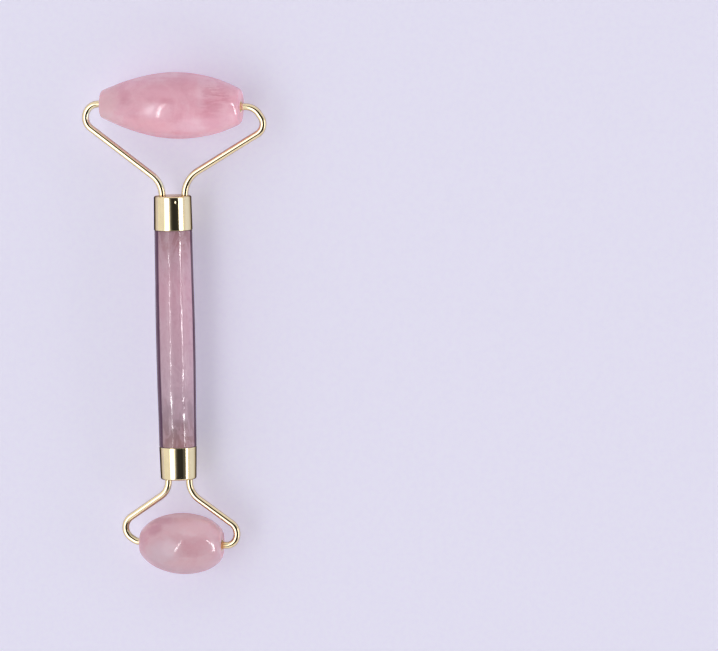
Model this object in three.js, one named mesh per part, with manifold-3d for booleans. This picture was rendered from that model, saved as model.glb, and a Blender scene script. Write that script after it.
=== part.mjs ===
// Double-ended face roller: a polished stone rod with a drawn metal ferrule on each end, a bent-wire
// fork brazed into each ferrule, and a barrel-shaped roller stone on the two tips of each fork.
//
// Millimetres, +Z up. The rod runs along Y with the large roller towards +Y; left is -X, right is +X.
// The forks lie in the plane Z = 0. The origin is the centre of the outer face of the large-end
// ferrule's closed end.

import * as THREE from 'three';
import { mergeVertices } from 'three/addons/utils/BufferGeometryUtils.js';
import Module from 'manifold-3d';

// ---------------------------------------------------------------- dimensions (mm)
// Y stations are counted from the middle of the visible rod; the body group moves them to the origin.

// Outline of the visible rod: [y, radius]
const ROD = [
  [-31.50, 5.26], [-31.30, 5.42], [-28.3, 5.44], [-22.6, 5.50], [-16.8, 5.57],
  [-11.0, 5.635], [-5.2, 5.685], [0.6, 5.71], [6.4, 5.68], [12.2, 5.63],
  [18.0, 5.58], [23.7, 5.54], [28.5, 5.49], [31.18, 5.46], [31.38, 5.30],
];
const TENON = { radius: 4.52, length: 5.0, chamfer: 0.25 };  // turned-down rod end in a ferrule

const FERRULE = {
  corner: 0.6,          // outside radius of the drawn corner
  cornerSteps: 4,
  wall: 0.5,
  cap: 0.7,             // thickness of the closed end
  insideChamfer: 0.3,   // between the wall and the closed end
  rimBreak: 0.12,       // broken edge of the open rim
  legHoleRadius: 1.06,
};

const WIRE_RADIUS = 1.0;
const LEG_INSIDE = 3.75;   // leg length inside the ferrule, from the outer face of the closed end
const BEND_STEP = 9;       // degrees of bend per step of the wire

const BRAZE = {
  inner: 1.07,
  outer: 1.75,
  height: 0.85,
  baseHeight: 0.3,      // nearly straight part next to the closed end
  baseTaper: 0.05,
  tipThickness: 0.12,
  capGap: 0.03,
  wallGap: 0.36,
};

const ADHESIVE = {
  gap: 0.07,            // clearance to the ferrule wall and to the tenon
  rimSetback: 0.6,
  brazeGap: 0.25,
  legGap: 0.3,          // clearance around and beyond each leg
};

const BUSH = { bore: 1.065, outer: 1.50, recess: 0.45, boreChamfer: 0.1, outerChamfer: 0.08 };
const STONE_HOLE = { radius: 1.54, chamfer: 0.12 };

// Each end of the tool: side is its direction along Y, shoulder is where the rod steps to the tenon.
// An arm's leg runs straight to (legX, legCornerY), then through the middle corners [x, y] to the
// roller axis at axisCornerX, then along the axis. Bend radii follow the order of the corners.
const ENDS = {
  large: {
    side: 1,
    shoulder: ROD.at(-1)[0],
    ferrule: { openY: 31.42, closedY: 41.35, openRadius: 5.58, closedRadius: 5.42 },
    arms: {
      left: {
        legX: -3.05, legCornerY: 45.00, middle: [], axisCornerX: -33.164,
        bendRadii: [7.4, 3.90],
      },
      right: {
        legX: 3.62, legCornerY: 45.90, middle: [[28.43, 60.70]], axisCornerX: 24.52,
        bendRadii: [7.9, 3.46, 4.40],
      },
    },
    roller: {
      leftFaceY: 67.92,
      rightFaceY: 66.75,
      holeDepth: 7.0,
      pinDepth: 6.0,    // from the stone's end face to the wire tip
      bushLength: 5.0,
      // barrel from the left to the right end face: [x, radius]
      barrel: [
        [-20.40, 3.55], [-20.26, 3.83], [-19.95, 4.06], [-17.75, 5.06], [-14.75, 6.20],
        [-11.80, 7.22], [-8.80, 8.08], [-5.85, 8.80], [-2.90, 9.28], [0, 9.51],
        [3.0, 9.56], [5.9, 9.38], [8.85, 8.94], [11.8, 8.34], [14.7, 7.51],
        [17.6, 6.42], [20.05, 5.22], [20.44, 4.90], [20.65, 4.42],
      ],
    },
  },
  small: {
    side: -1,
    shoulder: ROD[0][0],
    ferrule: { openY: -31.54, closedY: -41.00, openRadius: 5.42, closedRadius: 5.18 },
    arms: {
      left: {
        legX: -3.04, legCornerY: -44.48, middle: [[-18.97, -55.25]], axisCornerX: -12.75,
        bendRadii: [5.35, 3.70, 3.60],
      },
      right: {
        legX: 3.18, legCornerY: -45.00, middle: [[17.80, -55.71]], axisCornerX: 15.73,
        bendRadii: [6.4, 3.80, 2.90],
      },
    },
    roller: {
      leftFaceY: -59.45,
      rightFaceY: -60.30,
      holeDepth: 6.4,
      pinDepth: 5.4,
      bushLength: 4.6,
      barrel: [
        [-11.50, 3.25], [-11.34, 3.60], [-11.05, 3.98], [-10.33, 4.83], [-8.8, 6.05],
        [-7.3, 6.92], [-5.8, 7.58], [-4.3, 8.09], [-2.8, 8.48], [-1.3, 8.72],
        [0.2, 8.82], [3.1, 8.74], [6.05, 8.20], [9.0, 7.08], [10.46, 6.18],
        [11.7, 5.06], [12.1, 4.48], [12.34, 4.05], [12.45, 3.60],
      ],
    },
  },
};

const SEGMENTS = { rod: 28, barrel: 30, wire: 12, small: 20 };

// ---------------------------------------------------------------- materials
const standard = (color, roughness, metalness) =>
  new THREE.MeshStandardMaterial({ color, roughness, metalness });

const MATERIALS = {
  metal: () => standard(0xe2cf9e, /* roughness */ 0.12, /* metalness */ 1),
  quartz: () => standard(0xd9a6b2, /* roughness */ 0.12, /* metalness */ 0),
  nylon: () => standard(0xe9e6e0, /* roughness */ 0.5, /* metalness */ 0),
  epoxy: () => standard(0xd8cfae, /* roughness */ 0.35, /* metalness */ 0),
  braze: () => standard(0xb9925a, /* roughness */ 0.4, /* metalness */ 1),
};

// ---------------------------------------------------------------- geometry helpers
const wasm = await Module();
wasm.setup();

// A closed, indexed, outward-facing geometry: shared vertices merged, collapsed triangles dropped.
function closed(geometry) {
  geometry.deleteAttribute('normal');
  geometry.deleteAttribute('uv');
  const merged = mergeVertices(geometry, 1e-4);
  const position = merged.getAttribute('position');
  const source = merged.getIndex().array;
  const corners = [new THREE.Vector3(), new THREE.Vector3(), new THREE.Vector3()];
  const kept = [];
  let volume = 0;   // only its sign matters: negative means the faces point inwards
  for (let i = 0; i < source.length; i += 3) {
    const triangle = [source[i], source[i + 1], source[i + 2]];
    if (new Set(triangle).size < 3) continue;
    kept.push(...triangle);
    const [a, b, c] = corners.map((corner, k) => corner.fromBufferAttribute(position, triangle[k]));
    volume += a.dot(b.cross(c));
  }
  if (volume < 0) {
    for (let i = 0; i < kept.length; i += 3) {
      [kept[i + 1], kept[i + 2]] = [kept[i + 2], kept[i + 1]];
    }
  }
  merged.setIndex(kept);
  return merged;
}

function toManifold(geometry) {
  const solid = closed(geometry);
  return new wasm.Manifold(new wasm.Mesh({
    numProp: 3,
    vertProperties: new Float32Array(solid.getAttribute('position').array),
    triVerts: new Uint32Array(solid.getIndex().array),
  }));
}

function fromManifold(solid) {
  const mesh = solid.getMesh();
  const geometry = new THREE.BufferGeometry();
  const positions = new Float32Array(mesh.vertProperties);
  geometry.setAttribute('position', new THREE.BufferAttribute(positions, 3));
  geometry.setIndex(new THREE.BufferAttribute(new Uint32Array(mesh.triVerts), 1));
  return geometry;
}

// Solid of revolution about Y from [y, radius] pairs.
function revolve(outline, segments) {
  const points = outline.map(([y, radius]) => new THREE.Vector2(radius, y));
  return closed(new THREE.LatheGeometry(points, segments));
}

// Cylinder parallel to Y, as a solid for cutting.
function cylinder(radius, y0, y1, x, segments) {
  const geometry = new THREE.CylinderGeometry(radius, radius, Math.abs(y1 - y0), segments);
  geometry.translate(x, (y0 + y1) / 2, 0);
  return toManifold(geometry);
}

// Revolves an outline and cuts a hole round each leg, between two y stations.
function revolveWithLegHoles(outline, arms, radius, y0, y1) {
  let solid = toManifold(revolve(outline, SEGMENTS.rod));
  for (const { legX } of Object.values(arms)) {
    solid = solid.subtract(cylinder(radius, y0, y1, legX, SEGMENTS.small));
  }
  return fromManifold(solid);
}

// A bent wire's centre line: straight runs joined by circular bends, given as stations with exact
// tangents so that the straight runs stay exactly straight.
class WirePath extends THREE.Curve {
  constructor(corners, bendRadii) {
    super();
    this.stations = [];
    this.tangents = [];
    const points = corners.map(([x, y]) => new THREE.Vector3(x, y, 0));
    const directions = points.slice(1).map((point, i) => point.clone().sub(points[i]).normalize());
    this.add(points[0], directions[0]);
    bendRadii.forEach((radius, i) => {
      this.addBend(points[i + 1], directions[i], directions[i + 1], radius);
    });
    this.add(points.at(-1), directions.at(-1));
  }

  add(station, tangent) {
    this.stations.push(station);
    this.tangents.push(tangent);
  }

  addBend(corner, before, after, radius) {
    const zAxis = new THREE.Vector3(0, 0, 1);
    const turn = before.angleTo(after);
    const turnSign = Math.sign(before.x * after.y - before.y * after.x);
    const toCentre = new THREE.Vector3(-before.y, before.x, 0).multiplyScalar(turnSign);
    const start = corner.clone().addScaledVector(before, -radius * Math.tan(turn / 2));
    const centre = start.clone().addScaledVector(toCentre, radius);
    const steps = Math.max(3, Math.round(THREE.MathUtils.radToDeg(turn) / BEND_STEP));
    for (let k = 0; k <= steps; k++) {
      const angle = turnSign * turn * k / steps;
      const spoke = start.clone().sub(centre).applyAxisAngle(zAxis, angle);
      this.add(centre.clone().add(spoke), before.clone().applyAxisAngle(zAxis, angle));
    }
  }

  get steps() {
    return this.stations.length - 1;
  }

  // ExtrudeGeometry reads the path through these two methods, one sample per station.
  getSpacedPoints() {
    return this.stations.map((station) => station.clone());
  }

  getTangentAt(u, target = new THREE.Vector3()) {
    return target.copy(this.tangents[Math.round(u * this.steps)]);
  }
}

function wire(corners, bendRadii) {
  const path = new WirePath(corners, bendRadii);
  const section = new THREE.Shape(Array.from({ length: SEGMENTS.wire }, (_, i) => {
    const angle = (i / SEGMENTS.wire) * 2 * Math.PI;
    return new THREE.Vector2(WIRE_RADIUS * Math.cos(angle), WIRE_RADIUS * Math.sin(angle));
  }));
  const options = { steps: path.steps, extrudePath: path, bevelEnabled: false };
  return closed(new THREE.ExtrudeGeometry(section, options));
}

// The roller's axis: a line through the centres of the stone's two end faces.
function rollerAxis({ barrel, leftFaceY, rightFaceY }) {
  const left = [barrel[0][0], leftFaceY];
  const right = [barrel.at(-1)[0], rightFaceY];
  const run = right[0] - left[0];
  const rise = right[1] - left[1];
  return {
    left,
    right,
    direction: new THREE.Vector2(run, rise).normalize(),
    yAt: (x) => left[1] + rise * (x - left[0]) / run,
  };
}

// ---------------------------------------------------------------- pieces
// The rod, with a turned-down tenon at each end.
function handleStone() {
  const { radius, length, chamfer } = TENON;
  const low = ENDS.small.shoulder;
  const high = ENDS.large.shoulder;
  return revolve([
    [low - length, 0], [low - length, radius - chamfer],
    [low - length + chamfer, radius], [low, radius],
    ...ROD,
    [high, radius], [high + length - chamfer, radius],
    [high + length, radius - chamfer], [high + length, 0],
  ], SEGMENTS.rod);
}

// A drawn cup with two leg holes through its closed end.
function ferrule({ side, ferrule: { openY, closedY, openRadius, closedRadius }, arms }) {
  const { corner, cornerSteps, wall, cap, insideChamfer, rimBreak, legHoleRadius } = FERRULE;
  const outline = [[closedY, 0], [closedY, closedRadius - corner]];
  for (let k = 1; k <= cornerSteps; k++) {
    const angle = (k / cornerSteps) * Math.PI / 2;
    outline.push([
      closedY - side * corner * (1 - Math.cos(angle)),
      closedRadius - corner * (1 - Math.sin(angle)),
    ]);
  }
  outline.push(
    [openY + side * rimBreak, openRadius],
    [openY, openRadius - rimBreak],
    [openY, openRadius - wall],
    [closedY - side * (cap + insideChamfer), closedRadius - wall],
    [closedY - side * cap, closedRadius - wall - insideChamfer],
    [closedY - side * cap, 0],
  );
  // the cutters overshoot both faces of the closed end
  return revolveWithLegHoles(outline, arms, legHoleRadius, closedY - side * 2, closedY + side);
}

// Cured adhesive: a sleeve round the tenon and a plug round the legs.
function adhesive({ side, shoulder, ferrule: { openY, closedY, closedRadius }, arms }) {
  const { gap, rimSetback, brazeGap, legGap } = ADHESIVE;
  const outer = closedRadius - FERRULE.wall - gap;
  const inner = TENON.radius + gap;
  const sleeveEnd = openY + side * rimSetback;
  const plugBottom = shoulder + side * TENON.length + side * gap;
  const plugTop = closedY - side * (FERRULE.cap + BRAZE.height + brazeGap);
  const outline = [
    [plugTop, 0], [plugTop, outer], [sleeveEnd, outer],
    [sleeveEnd, inner], [plugBottom, inner], [plugBottom, 0],
  ];
  const holeBottom = closedY - side * LEG_INSIDE - side * legGap;
  return revolveWithLegHoles(outline, arms, WIRE_RADIUS + legGap, holeBottom, closedY);
}

// One arm of a fork, from inside the ferrule to its tip inside the roller stone.
function forkArm({ side, ferrule: { closedY }, roller, arms }, hand) {
  const { legX, legCornerY, middle, axisCornerX, bendRadii } = arms[hand];
  const axis = rollerAxis(roller);
  const face = axis[hand];
  const reach = (hand === 'left' ? 1 : -1) * roller.pinDepth;
  return wire([
    [legX, closedY - side * LEG_INSIDE],
    [legX, legCornerY],
    ...middle,
    [axisCornerX, axis.yAt(axisCornerX)],
    [face[0] + axis.direction.x * reach, face[1] + axis.direction.y * reach],
  ], bendRadii);
}

// A braze bead inside the closed end, centred on its leg and trimmed short of the cup's wall.
function brazeBead({ side, ferrule: { closedY, closedRadius } }, legX) {
  const { inner, outer, height, baseHeight, baseTaper, tipThickness, capGap, wallGap } = BRAZE;
  const base = closedY - side * (FERRULE.cap + capGap);
  const tip = base - side * height;
  const ring = toManifold(revolve([
    [base, inner], [base, outer], [base - side * baseHeight, outer - baseTaper],
    [tip, inner + tipThickness], [tip, inner], [base, inner],
  ], SEGMENTS.small));
  const cavityRadius = closedRadius - FERRULE.wall - wallGap;
  const cavity = cylinder(cavityRadius, closedY, closedY - side * 4, -legX, SEGMENTS.rod);
  return fromManifold(ring.intersect(cavity));
}

// A barrel with a blind hole in each end; left and right are its end faces along the axis, and
// stretch turns the barrel's x into distance along the axis.
function rollerStone({ barrel, holeDepth }, left, right, stretch) {
  const { radius, chamfer } = STONE_HOLE;
  return revolve([
    [left + holeDepth, 0], [left + holeDepth, radius],
    [left + chamfer, radius], [left, radius + chamfer],
    ...barrel.map(([x, barrelRadius]) => [x * stretch, barrelRadius]),
    [right, radius + chamfer], [right - chamfer, radius],
    [right - holeDepth, radius], [right - holeDepth, 0],
  ], SEGMENTS.barrel);
}

// A bush recessed into the stone; inward is the direction from the end face into the stone.
function bush(face, inward, length) {
  const { bore, outer, recess, boreChamfer, outerChamfer } = BUSH;
  const start = face + inward * recess;
  const end = start + inward * length;
  return revolve([
    [start, bore + boreChamfer], [start, outer - outerChamfer],
    [start + inward * outerChamfer, outer], [end, outer], [end, bore],
    [start + inward * boreChamfer, bore], [start, bore + boreChamfer],
  ], SEGMENTS.small);
}

// ---------------------------------------------------------------- assembly
const root = new THREE.Group();
const body = new THREE.Group();
body.position.set(0, -ENDS.large.ferrule.closedY, 0);
root.add(body);

function put(name, geometry, material, parent = body) {
  const mesh = new THREE.Mesh(geometry, MATERIALS[material]());
  mesh.name = name;
  parent.add(mesh);
  return mesh;
}

// The roller stone and its bushes, in a group whose +Y is the roller's axis, towards the right.
function addRoller(kind, roller) {
  const { direction, left, right, yAt } = rollerAxis(roller);
  const group = new THREE.Group();
  group.position.set(0, yAt(0), 0);
  group.rotation.z = Math.atan2(direction.y, direction.x) - Math.PI / 2;
  body.add(group);

  const stretch = 1 / direction.x;
  const leftFace = left[0] * stretch;
  const rightFace = right[0] * stretch;
  const stone = rollerStone(roller, leftFace, rightFace, stretch);
  put(`${kind}_roller_stone`, stone, 'quartz', group);
  put(`${kind}_left_bush`, bush(leftFace, 1, roller.bushLength), 'nylon', group);
  put(`${kind}_right_bush`, bush(rightFace, -1, roller.bushLength), 'nylon', group);
}

const ends = Object.entries(ENDS);
put('handle_stone', handleStone(), 'quartz');
for (const [kind, end] of ends) put(`${kind}_end_ferrule`, ferrule(end), 'metal');
for (const [kind, end] of ends) put(`${kind}_end_adhesive`, adhesive(end), 'epoxy');
for (const [kind, end] of ends) {
  for (const hand of ['left', 'right']) {
    put(`${kind}_fork_${hand}_arm`, forkArm(end, hand), 'metal');
  }
}
for (const [kind, end] of ends) {
  for (const hand of ['left', 'right']) {
    const { legX } = end.arms[hand];
    put(`${kind}_${hand}_braze`, brazeBead(end, legX), 'braze').position.x = legX;
  }
}
for (const [kind, end] of ends) addRoller(kind, end.roller);

export default root;
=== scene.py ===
"""A rose quartz face roller: a handle rod with a large and a small roller stone on wire forks.

It lies on its back. The rod runs along Y with the large roller at the +Y end, the axes of rod,
wires and rollers lie in the plane Z = 0, and the floor is below at -Z. The frame's origin is the
closed end of the large ferrule.
"""
import math

import bmesh
import bpy
import numpy as np
from mathutils import Matrix, Vector, noise


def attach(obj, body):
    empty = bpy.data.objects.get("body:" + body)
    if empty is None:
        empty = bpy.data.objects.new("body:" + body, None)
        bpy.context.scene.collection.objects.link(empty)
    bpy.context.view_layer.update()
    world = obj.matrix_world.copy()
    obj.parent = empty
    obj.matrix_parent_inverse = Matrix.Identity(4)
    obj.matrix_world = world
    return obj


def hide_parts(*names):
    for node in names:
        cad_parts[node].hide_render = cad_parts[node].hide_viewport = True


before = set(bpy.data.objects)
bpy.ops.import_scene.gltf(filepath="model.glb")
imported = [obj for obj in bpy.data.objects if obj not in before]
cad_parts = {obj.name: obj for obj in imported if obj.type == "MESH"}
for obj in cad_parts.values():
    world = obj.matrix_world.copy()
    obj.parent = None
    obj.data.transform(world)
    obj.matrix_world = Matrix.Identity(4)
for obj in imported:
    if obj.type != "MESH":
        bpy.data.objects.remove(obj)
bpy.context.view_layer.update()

# ------------------------------------------------------------------ dimensions, millimetres
# Y is counted from the middle of the visible rod; Y_SHIFT moves it to the frame.
MM = 0.001
KINDS = ("large", "small")
SIDES = ("left", "right")

# y of the closed and open end, outer radius at each
FERRULES = {
    "large": dict(closed=41.35, opened=31.42, closed_radius=5.42, open_radius=5.58),
    "small": dict(closed=-41.00, opened=-31.54, closed_radius=5.18, open_radius=5.42),
}
Y_SHIFT = -FERRULES["large"]["closed"]
FERRULE_WALL = 0.5
FERRULE_CAP = 0.7               # thickness of the closed end
FERRULE_CORNER = 0.6            # outer rounding at the closed end
FERRULE_INNER_CORNER = 0.2
RIM_ROUND_OUTER = 0.12
RIM_ROUND_INNER = 0.06
LEG_HOLE_RADIUS = 1.06
LEG_HOLE_CHAMFER = 0.05

ROD_FACES = (-31.50, 31.38)     # y where the rod's full thickness starts and ends
ROD_SHOULDERS = ((-31.30, 5.42), (31.18, 5.46))
ROD_BODY = [                    # y, radius
    (-28.3, 5.44), (-22.6, 5.50), (-16.8, 5.57), (-11.0, 5.635), (-5.2, 5.685), (0.6, 5.71),
    (6.4, 5.68), (12.2, 5.63), (18.0, 5.58), (23.7, 5.54), (28.5, 5.49),
]
TENON_RADIUS = 4.52
TENON_LENGTH = 5.0

# Roller outline: x, radius. The fit smooths the points between the first two and the tail.
# axis_y gives the height of the roller's axis at its left and right end.
ROLLERS = {
    "large": dict(
        axis_y=(67.92, 66.75), hole_depth=7.0, bush_length=5.0, segments=192,
        tail_points=2, fit_degree=6, fit_points=26, bump_seed=(11.3, 4.1, 7.7),
        outline=[
            (-20.40, 3.55), (-20.26, 3.83), (-19.95, 4.06), (-17.75, 5.06), (-14.75, 6.20),
            (-11.80, 7.22), (-8.80, 8.08), (-5.85, 8.80), (-2.90, 9.28), (0, 9.51), (3.0, 9.56),
            (5.9, 9.38), (8.85, 8.94), (11.8, 8.34), (14.7, 7.51), (17.6, 6.42), (20.05, 5.22),
            (20.44, 4.90), (20.65, 4.42),
        ]),
    "small": dict(
        axis_y=(-59.45, -60.30), hole_depth=6.4, bush_length=4.6, segments=176,
        tail_points=3, fit_degree=7, fit_points=18, bump_seed=(3.9, 15.2, 1.4),
        outline=[
            (-11.50, 3.25), (-11.34, 3.60), (-11.05, 3.98), (-10.33, 4.83), (-8.8, 6.05),
            (-7.3, 6.92), (-5.8, 7.58), (-4.3, 8.09), (-2.8, 8.48), (-1.3, 8.72), (0.2, 8.82),
            (3.1, 8.74), (6.05, 8.20), (9.0, 7.08), (10.46, 6.18), (11.7, 5.06), (12.1, 4.48),
            (12.34, 4.05), (12.45, 3.60),
        ]),
}
OUTLINE_STEP = 0.42
HOLE_RADIUS = 1.54
HOLE_BOTTOM_ROUND = 0.1
HOLE_LIP_ROUND = 0.16
BUSH_BORE = 1.065
BUSH_RADIUS = 1.50
BUSH_RECESS = 0.45
BUSH_SEGMENTS = 72

# Fork arms. bends: x, y, bend radius from the ferrule outwards; the first lies straight above
# its leg. axis_bend: x and bend radius of the last bend, which lies on the roller's axis.
ARMS = {
    ("large", "left"): dict(bends=[(-3.05, 45.00, 7.4)], axis_bend=(-33.164, 3.90)),
    ("large", "right"): dict(bends=[(3.62, 45.90, 7.9), (28.43, 60.70, 3.46)],
                             axis_bend=(24.52, 4.40)),
    ("small", "left"): dict(bends=[(-3.04, -44.48, 5.35), (-18.97, -55.25, 3.70)],
                            axis_bend=(-12.75, 3.60)),
    ("small", "right"): dict(bends=[(3.18, -45.00, 6.4), (17.80, -55.71, 3.80)],
                             axis_bend=(15.73, 2.90)),
}
WIRE_RADIUS = 1.0
WIRE_END_ROUND = 0.22
LEG_INSERT = 3.75               # length of wire inside the ferrule
PIN_GAP = 1.0                   # from a wire's tip to the bottom of its hole


# ------------------------------------------------------------------ curves
def rotated(vector, angle):
    c, s = math.cos(angle), math.sin(angle)
    return np.array([c * vector[0] - s * vector[1], s * vector[0] + c * vector[1]])


def fillet(before, corner, after, radius, step):
    """(point, unit tangent) pairs of the arc rounding a corner, about `step` degrees apart."""
    arrive = (corner - before) / np.linalg.norm(corner - before)
    leave = (after - corner) / np.linalg.norm(after - corner)
    turn = math.acos(float(arrive @ leave))
    side = math.copysign(1.0, arrive[0] * leave[1] - arrive[1] * leave[0])
    start = corner - arrive * radius * math.tan(turn / 2)
    centre = start + side * radius * np.array([-arrive[1], arrive[0]])
    count = round(math.degrees(turn) / step)
    angles = [side * turn * j / count for j in range(count + 1)]
    return [(centre + rotated(start - centre, a), rotated(arrive, a)) for a in angles]


def rounded(points, radii, step=15):
    """A polyline with each corner replaced by an arc of its radius (0 keeps it sharp)."""
    points = [np.array(point, float) for point in points]
    out = []
    for i, radius in enumerate(radii):
        if radius:
            arc = fillet(points[i - 1], points[i], points[i + 1], radius, step)
            out += [point for point, _ in arc]
        else:
            out.append(points[i])
    return [tuple(point) for point in out]


def spline(points, step):
    """Centripetal Catmull-Rom curve through the points, sampled about every `step` mm."""
    def between(a, b, start, end, at):
        return (end - at) / (end - start) * a + (at - start) / (end - start) * b

    p = [np.array(point, float) for point in points]
    p = [2 * p[0] - p[1]] + p + [2 * p[-1] - p[-2]]
    out = []
    for i in range(1, len(p) - 2):
        knots = [0.0]
        for j in (i - 1, i, i + 1):
            knots.append(knots[-1] + float(np.linalg.norm(p[j + 1] - p[j])) ** 0.5)
        t0, t1, t2, t3 = knots
        count = max(2, math.ceil(float(np.linalg.norm(p[i + 1] - p[i])) / step))
        for j in range(count):
            at = t1 + (t2 - t1) * j / count
            first = between(p[i - 1], p[i], t0, t1, at)
            middle = between(p[i], p[i + 1], t1, t2, at)
            last = between(p[i + 1], p[i + 2], t2, t3, at)
            low = between(first, middle, t0, t2, at)
            high = between(middle, last, t1, t3, at)
            out.append(tuple(between(low, high, t1, t2, at)))
    out.append(tuple(p[-2]))
    return out


def smoothstep(low, high, x):
    t = min(1.0, max(0.0, (x - low) / (high - low)))
    return t * t * (3 - 2 * t)


def inside_ends(station, left, right, start, full):
    """0 up to `start` mm in from either end, 1 from `full` mm in."""
    rise = smoothstep(left + start, left + full, station)
    return rise * (1 - smoothstep(right - full, right - start, station))


# ------------------------------------------------------------------ meshes
def add_object(name, data):
    obj = bpy.data.objects.new(name, data)
    bpy.context.scene.collection.objects.link(obj)
    return obj


def new_mesh(name, points, faces):
    mesh = bpy.data.meshes.new(name)
    mesh.from_pydata(points, [], faces)
    return mesh


def add_solid(name, points, faces, sharp=32.0):
    """A smooth-shaded object from points in mm; edges steeper than `sharp` degrees stay crisp."""
    places = np.array(points, float)
    places[:, 1] += Y_SHIFT
    mesh = new_mesh(name, (places * MM).tolist(), faces)
    mesh.validate()
    bm = bmesh.new()
    bm.from_mesh(mesh)
    bmesh.ops.recalc_face_normals(bm, faces=bm.faces[:])
    bm.to_mesh(mesh)
    bm.free()
    mesh.polygons.foreach_set("use_smooth", np.ones(len(mesh.polygons), bool))
    mesh.set_sharp_from_angle(angle=math.radians(sharp))
    return add_object(name, mesh)


def lathe(name, profile, origin, direction, segments, closed=False, bumps=None):
    """Revolve (station along the axis, radius) points about a line in the plane Z = 0.

    bumps(station, angle, radius) gives a radial offset; a closed profile joins its ends.
    """
    origin = np.array([origin[0], origin[1], 0.0])
    axis = np.array([direction[0], direction[1], 0.0])
    axis /= np.linalg.norm(axis)
    up = np.array([0, 0, 1.0])
    across = np.cross(axis, up)
    points, faces, rings = [], [], []
    for station, radius in profile:
        if radius < 1e-6:
            rings.append([len(points)])
            points.append(origin + axis * station)
            continue
        rings.append(list(range(len(points), len(points) + segments)))
        for j in range(segments):
            angle = 2 * math.pi * j / segments
            reach = radius + (bumps(station, angle, radius) if bumps else 0.0)
            spoke = math.cos(angle) * up + math.sin(angle) * across
            points.append(origin + axis * station + reach * spoke)
    pairs = list(zip(rings[:-1], rings[1:]))
    if closed:
        pairs.append((rings[-1], rings[0]))
    for p, q in pairs:
        for j in range(segments):
            k = (j + 1) % segments
            if len(p) == 1:
                faces.append((p[0], q[j], q[k]))
            elif len(q) == 1:
                faces.append((p[j], q[0], p[k]))
            else:
                faces.append((p[j], q[j], q[k], p[k]))
    return add_solid(name, points, faces)


def register(obj, rides, replaces):
    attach(obj, rides)
    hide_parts(replaces)
    return obj


# ------------------------------------------------------------------ roller stones and bushes
class RollerAxis:
    """The slightly tilted axis of a roller, in the plane Z = 0."""

    def __init__(self, outline, axis_y):
        self.left = np.array((outline[0][0], axis_y[0]))
        self.right = np.array((outline[-1][0], axis_y[1]))
        run = self.right - self.left
        self.direction = run / np.linalg.norm(run)
        self.stretch = 1 / self.direction[0]
        self.centre = (0.0, self.y_at(0.0))

    def y_at(self, x):
        (left_x, left_y), (right_x, right_y) = self.left, self.right
        return left_y + (right_y - left_y) * (x - left_x) / (right_x - left_x)

    def station(self, x):
        """Distance along the axis from its centre to the point at x."""
        return x * self.stretch

    def end(self, side):
        """End point, and the sign of the way along the axis into the stone."""
        return (self.left, 1) if side == "left" else (self.right, -1)


AXES = {kind: RollerAxis(ROLLERS[kind]["outline"], ROLLERS[kind]["axis_y"]) for kind in KINDS}


def stone_end(face, bottom, rim):
    """Profile from the bottom of the hole out over the flat end, up to the rim point."""
    hole = rounded([(bottom, 0), (bottom, HOLE_RADIUS), (face, HOLE_RADIUS), rim],
                   [0, HOLE_BOTTOM_ROUND, HOLE_LIP_ROUND, 0])[:-1]
    lip = HOLE_RADIUS + HOLE_LIP_ROUND
    return hole + [(face, lip + (rim[1] - lip) * k / 4) for k in (1, 2, 3)]


def stone(kind):
    roller, axis = ROLLERS[kind], AXES[kind]
    table = roller["outline"]
    tail = len(table) - roller["tail_points"]
    body = np.array(table[2:tail], float)
    fit = np.polynomial.Polynomial.fit(body[:, 0], body[:, 1], roller["fit_degree"])
    xs = np.linspace(body[0, 0], body[-1, 0], roller["fit_points"])
    smooth_body = [(x, float(fit(x))) for x in xs]
    curve = spline(table[:2] + smooth_body + table[tail:], OUTLINE_STEP)
    outline = [(axis.station(x), radius) for x, radius in curve]
    left, right = axis.station(axis.left[0]), axis.station(axis.right[0])
    depth = roller["hole_depth"]
    profile = (stone_end(left, left + depth, outline[0]) + outline
               + stone_end(right, right - depth, outline[-1])[::-1])
    seed = Vector(roller["bump_seed"])

    def bumps(station, angle, radius):
        share = inside_ends(station, left, right, start=0.6, full=3.0)
        if radius < HOLE_RADIUS + 0.5 or share <= 0:
            return 0.0
        point = Vector((station, radius * math.cos(angle), radius * math.sin(angle)))
        broad = 0.030 * noise.noise(point * 0.16 + seed)
        fine = 0.007 * noise.noise(point * 0.55 + seed * 1.7)
        return share * (broad + fine)

    obj = lathe(f"{kind}_roller_stone_polished", profile, axis.centre, axis.direction,
                roller["segments"], bumps=bumps)
    return register(obj, f"{kind}_roller", f"{kind}_roller_stone")


def bush(kind, side):
    axis = AXES[kind]
    end, inward = axis.end(side)
    outer = axis.station(end[0]) + inward * BUSH_RECESS
    inner = outer + inward * ROLLERS[kind]["bush_length"]
    ring = [(outer, BUSH_BORE), (outer, BUSH_RADIUS), (inner, BUSH_RADIUS), (inner, BUSH_BORE)]
    # the ring is extended by one corner each way, so that all four corners are rounded
    profile = rounded([ring[-1], *ring, ring[0]], [0, 0.14, 0.1, 0.08, 0.08, 0])[1:-1]
    obj = lathe(f"{kind}_{side}_bush_moulded", profile, axis.centre, axis.direction,
                BUSH_SEGMENTS, closed=True)
    return register(obj, f"{kind}_roller", f"{kind}_{side}_bush")


# ------------------------------------------------------------------ handle rod
def rod_end(face, tip, shoulder_radius, body_start):
    """Profile from a tenon's tip over the rod's end face, up to the body."""
    tenon = rounded([(tip, 0), (tip, TENON_RADIUS), (face, TENON_RADIUS)], [0, 0.3, 0])[:-1]
    shoulder = rounded([(face, TENON_RADIUS), (face, shoulder_radius), body_start], [0, 0.2, 0])
    return tenon + shoulder[:-1]


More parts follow.
